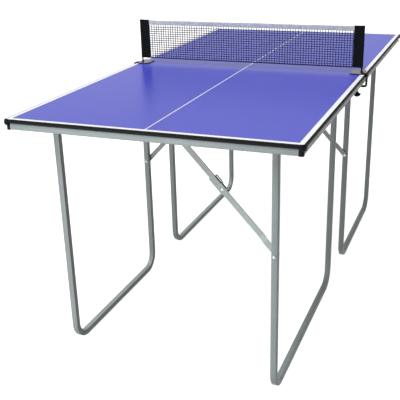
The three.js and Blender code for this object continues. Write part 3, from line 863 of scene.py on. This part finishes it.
def make_bolt(half, sign):
    """A slide bolt: a rod across the seam, with a grip at a right angle to it."""
    low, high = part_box("near_slide_bolt")
    radius = 0.004
    x, z = high.x - radius, (low.z + high.z) / 2
    length, reach = high.y - low.y, high.x - low.x - radius
    end = [(0, 0), (0.0028, 0), (radius, 0.0016)]
    bolt = Solid()
    bolt.lathe(end + [(r, length - h) for r, h in reversed(end)], (x, low.y, z), ACROSS)
    grip = [(0, 0), (0.003, 0), (radius, 0.0014), (radius, reach), (0, reach)]
    bolt.lathe(grip, (low.x, low.y + radius, z), (1, 0, 0))
    piece(f"{half}_bolt_rod", bolt.turned(sign), ["zinc"], f"{half}_bolt",
          f"{half}_slide_bolt")


# ---- the net ---------------------------------------------------------------------------------
COLUMNS = 80
ROWS = 15
TWINE = 0.0012  # radius
FOOT_CORD = 0.0022  # radius of the cord along the net's foot
NET_LOW, NET_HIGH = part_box("net_mesh")
TAPE_LOW, TAPE_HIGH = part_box("net_top_tape")


def slack(x, z):
    """How far the hanging net strays from its plane: nothing at the tape, a little lower down.
    Its columns also wander a little along it."""
    free = (NET_HIGH.z - z) / (NET_HIGH.z - NET_LOW.z)
    sway = 0.0022 * free * noise.noise(Vector((x * 9, z * 14, 3.1)))
    wander = 0.0005 * noise.noise(Vector((x * 60, z * 60, 7.7)))
    return Vector((wander, sway, 0))


def make_net():
    """Twine both ways with a knot at each crossing, and a thicker cord along the foot."""
    net = Solid()
    width, height = NET_HIGH.x - NET_LOW.x, NET_HIGH.z - NET_LOW.z
    top = TAPE_LOW.z + 0.004

    def knot(i, j):
        x = NET_LOW.x + width * i / COLUMNS
        z = NET_LOW.z + height * j / ROWS
        return Vector((x, 0, z)) + slack(x, z)

    def strand(points, radius, sides=5):
        rings = []
        for k, p in enumerate(points):
            ahead = (points[min(k + 1, len(points) - 1)] - points[max(k - 1, 0)]).normalized()
            front = ahead.cross(Vector((0, 1, 0))).normalized()
            turns = [math.tau * s / sides for s in range(sides)]
            rings.append([p + radius * (math.cos(t) * front + Vector((0, math.sin(t), 0))) for t in turns])
        net.loft(rings)

    for i in range(COLUMNS + 1):
        points = [knot(i, j) for j in range(ROWS)]
        points.append(Vector((points[-1].x, 0, top)))
        strand(points, TWINE)
    for j in range(1, ROWS):
        strand([knot(i, j) for i in range(COLUMNS + 1)], TWINE)
    strand([knot(i, 0) for i in range(COLUMNS + 1)], FOOT_CORD, 8)
    size = 1.4 * TWINE
    around = ((1, 0, 0), (0, 0.8, 0), (-1, 0, 0), (0, -0.8, 0))
    for i in range(1, COLUMNS):
        for j in range(1, ROWS):
            middle = knot(i, j)
            ring = [middle + size * Vector(d) for d in around]
            net.loft([[middle - size * UP], ring, [middle + size * UP]])
    obj = piece("net_twine_mesh", net, ["net"], "net", "net_mesh")


def make_tape():
    """White cotton folded over the top cord, with a row of stitches along its lower edge."""
    thick, gap = 0.0006, 0.0011
    foot, top = TAPE_LOW.z, TAPE_HIGH.z
    bend = top - gap - thick
    length = TAPE_HIGH.x - TAPE_LOW.x
    stations = 140

    def sway(x):
        """The tape's small waves, nothing at its two ends."""
        ease = min(1, (TAPE_HIGH.x - abs(x)) / 0.05)
        return (0.0007 * ease * noise.noise(Vector((x * 14, 0.3, 0))),
                0.0009 * ease * (noise.noise(Vector((x * 7, 5.3, 0))) - 0.4))

    def side_profile(out):
        straight = [(-out, foot + (bend - foot) * k / 4) for k in range(4)]
        turns = [math.pi * k / 8 for k in range(9)]
        over = [(-out * math.cos(t), bend + out * math.sin(t)) for t in turns]
        return straight + over + [(-y, z) for y, z in reversed(straight)]

    section = side_profile(gap + thick) + side_profile(gap)[::-1]
    tape = Solid()
    rings = []
    for k in range(stations + 1):
        x = TAPE_LOW.x + length * k / stations
        dy, dz = sway(x)
        rings.append([(x, y + dy, z + dz * (z - foot) / (top - foot)) for y, z in section])
    tape.loft(rings)
    obj = piece("net_tape", tape, ["tape"], "net", "net_top_tape")
    stitches = Solid()
    pitch, stitch, row, proud = 0.0042, 0.0028, foot + 0.003, 0.0003
    shape = ((0, 0), (0.3, proud), (0.7, proud), (1, 0))
    for k in range(int(length / pitch)):
        x = TAPE_LOW.x + pitch * (k + 0.3)
        dy = sway(x)[0]
        for side in (-1, 1):
            y = dy + side * (gap + thick)
            route = [(x + t * stitch, y + side * lift, row) for t, lift in shape]
            wire(stitches, route, 0.00028, sides=6)
    seam = piece("net_tape_stitches", stitches, ["thread"], "net")
    seam.parent = obj


def make_sleeve(name, side):
    """A canvas sleeve: a loop round the post and a hem that holds the net's end."""
    low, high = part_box(f"net_sleeve_{name}")
    inner_x = low.x if side > 0 else -high.x
    outer_x = high.x if side > 0 else -low.x
    thick = 0.0008
    post_radius = 0.0042
    post_x = outer_x - post_radius - 0.0002

    def loop(shrink):
        r = post_radius - shrink
        nose = arc((post_x, 0), r, -115, 115, 16)
        hem = 0.0019 - shrink
        neck = [(post_x - 0.0095, 0.0016 - shrink), (post_x - 0.016, 0.0014 - shrink)]
        inner = [(inner_x + 0.007, hem), (inner_x + 0.0015 + shrink, hem)]
        upper = neck + inner
        return nose + upper + [(a, -b) for a, b in reversed(upper)]

    levels = 26
    tall = high.z - low.z

    def ring(shrink, k):
        t = k / levels
        z = low.z + tall * t
        hemmed = k in (0, 1, levels - 1, levels)
        swell = 0.0006 if hemmed else 0.0
        points = []
        for a, b in loop(shrink):
            crease = 0 if hemmed else 0.0005 * noise.noise(Vector((a * 130, z * 60, side * 2.0)))
            points.append((side * a, b + math.copysign(swell, b) + crease, z))
        return points

    sleeve = Solid()
    outside = [ring(0, k) for k in range(levels + 1)]
    inside = [ring(thick, k) for k in range(levels + 1)]
    sleeve.loft([*outside, *reversed(inside)], joined=True)
    obj = piece(f"net_sleeve_{name}_canvas", sleeve, ["sleeve"], "net", f"net_sleeve_{name}")


# ---- the clamps ------------------------------------------------------------------------------
CLAMP_SCREW = JOINT_AT["clamp_right_turn"]


def make_clamp(name, side):
    """Drawn on the right, and turned half a turn about Z for the left. The strap's and screw's y
    changes sign before that, so that both clamps have them on the near side of the seam."""
    y = side * CLAMP_SCREW.y
    make_clamp_frame(name, side, y)
    make_clamp_screw(name, side, y)
    make_clamp_pad(name, side, y)


def make_clamp_frame(name, side, y):
    """A plate on the board with the net's post, and a strap that goes round the board's edge."""
    low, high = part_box("clamp_bracket_right")
    plate_foot = PLAY + 0.0003
    plate_top = plate_foot + SHEET
    plate_out, wide = high.x - 0.0135, high.y
    clamp = Solid()
    outline = []
    corners = (
        (low.x, -1, 0.010, 180),
        (plate_out, -1, 0.004, 270),
        (plate_out, 1, 0.004, 0),
        (low.x, 1, 0.010, 90),
    )
    for x, way, radius, turn in corners:
        inward = radius if x == low.x else -radius
        steps = 6 if x == low.x else 5
        outline += arc((x + inward, way * (wide - radius)), radius, turn, turn + 90, steps)
    clamp.prism(outline, plate_foot, plate_top, "z", 2)

    shoulder, narrow = 0.011, 0.007  # half the strap's width above and below
    bar = 0.0055  # its thickness below the shoulder
    bend, small, elbow = 0.006, 0.003, 0.0075
    turn = (high.x - bend, plate_top - bend)
    outer = [(plate_out - 0.005, plate_top), *arc(turn, bend, 90, 0, 6)]
    inner = [(plate_out - 0.005, plate_foot), *arc(turn, small, 90, 0, 6)]
    half_wide = [shoulder] * len(outer)
    shoulder_foot = PLAY - 0.0125
    for drop, thick, half in ((0, SHEET, shoulder), (0.003, bar, 0.009), (0.006, bar, narrow)):
        outer.append((high.x, shoulder_foot - drop))
        inner.append((high.x - thick, shoulder_foot - drop))
        half_wide.append(half)
    foot, arm_top, arm_end = low.z - 0.002, low.z + SHEET, CLAMP_SCREW.x - 0.012
    outer += [*arc((high.x - elbow, foot + elbow), elbow, 0, -90, 6), (arm_end, foot)]
    inner += [*arc((high.x - bar - small, arm_top + small), small, 0, -90, 6), (arm_end, arm_top)]
    half_wide += [narrow] * (len(outer) - len(half_wide))
    rings = []
    for (ox, oz), (ix, iz), half in zip(outer, inner, half_wide):
        rings.append([Vector((ox, y - half, oz)), Vector((ox, y + half, oz)),
                      Vector((ix, y + half, iz)), Vector((ix, y - half, iz))])
    clamp.loft(rings)

    tall = high.z - plate_top
    collar, stem = 0.0045, 0.0025
    post = [(0, 0), (collar, 0), (collar, 0.0015), (stem, 0.0026), (stem, tall - 0.0012)]
    post += [(0.0016, tall), (0, tall)]
    clamp.lathe(post, (plate_out - 0.010, 0, plate_top), UP, 0, 20)
    nut = arc((CLAMP_SCREW.x, y), 0.0068, 0, 300, 5)
    clamp.prism(nut, foot - 0.0032, foot, "z", 1)
    looks = ["steel", "zinc", "plate"]
    piece(f"clamp_{name}_frame", clamp.turned(side), looks, "near_half",
          f"clamp_bracket_{name}", 0.0005)


def make_clamp_screw(name, side, y):
    """A threaded shaft on a knob with two wings."""
    low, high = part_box("clamp_screw_right")
    x = CLAMP_SCREW.x
    shaft_foot = low.z + 0.012
    tall = high.z - shaft_foot
    pitch, crest, root = 0.0015, 0.0035, 0.0030
    shaft = [(0, 0), (crest, 0)]
    for k in range(int(tall / pitch)):
        shaft += [(crest, pitch * (k + 0.1)), (root, pitch * (k + 0.6))]
    shaft += [(root, tall), (0, tall)]
    screw = Solid()
    screw.lathe(shaft, (x, y, shaft_foot), UP, 1, 20)
    hub = [(0, 0), (0.0055, 0), (0.0072, 0.0014), (0.0075, 0.005)]
    hub += [(0.0066, 0.0125), (0.0048, 0.0150), (0, 0.0150)]
    screw.lathe(hub, (x, y, low.z), UP, 0, 28)
    wing = [(0, 0.0015), (0.0085, 0.0018), *arc((0.0088, 0.0075), 0.0034, -75, 80, 8)]
    wing += [(0.004, 0.0120), (0, 0.0128)]
    half_thick = 0.0028
    for way in (-1, 1):
        outline = [(x + way * a, low.z + b) for a, b in wing]
        screw.prism(outline, y - half_thick, y + half_thick)
    piece(f"clamp_{name}_knob", screw.turned(side), ["knob", "zinc"], f"clamp_screw_{name}",
          f"clamp_screw_{name}", 0.0008, 3)


def make_clamp_pad(name, side, y):
    """The round pad that the screw presses up against the board."""
    low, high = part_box("clamp_pad_right")
    tall, radius = high.z - low.z, 0.009
    profile = [(0, 0), (0.0078, 0), (radius, 0.0010), (radius, tall - 0.0006), (0.0084, tall)]
    pad = Solid()
    pad.lathe([*profile, (0, tall)], (CLAMP_SCREW.x, y, low.z), UP, 0, 32)
    piece(f"clamp_{name}_pad_disc", pad.turned(side), ["black"], f"clamp_pad_{name}",
          f"clamp_pad_{name}")


# ---- all of it -------------------------------------------------------------------------------
bpy.context.scene.view_settings.view_transform = "Standard"
make_camera()
make_light()
make_floor()
for half, sign in HALVES:
    make_board(half, sign)
    make_moulding(half, sign)
    make_corner(half, sign, "outer", 1)
    make_corner(half, sign, "inner", -1)
    make_rails(half, sign)
    make_bolt(half, sign)
    for kind in KINDS:
        make_leg_brackets(half, sign, kind)
        make_leg(half, sign, kind)
        make_brace(half, sign, kind)
make_net()
make_tape()
for name, side in (("left", -1), ("right", 1)):
    make_sleeve(name, side)
    make_clamp(name, side)
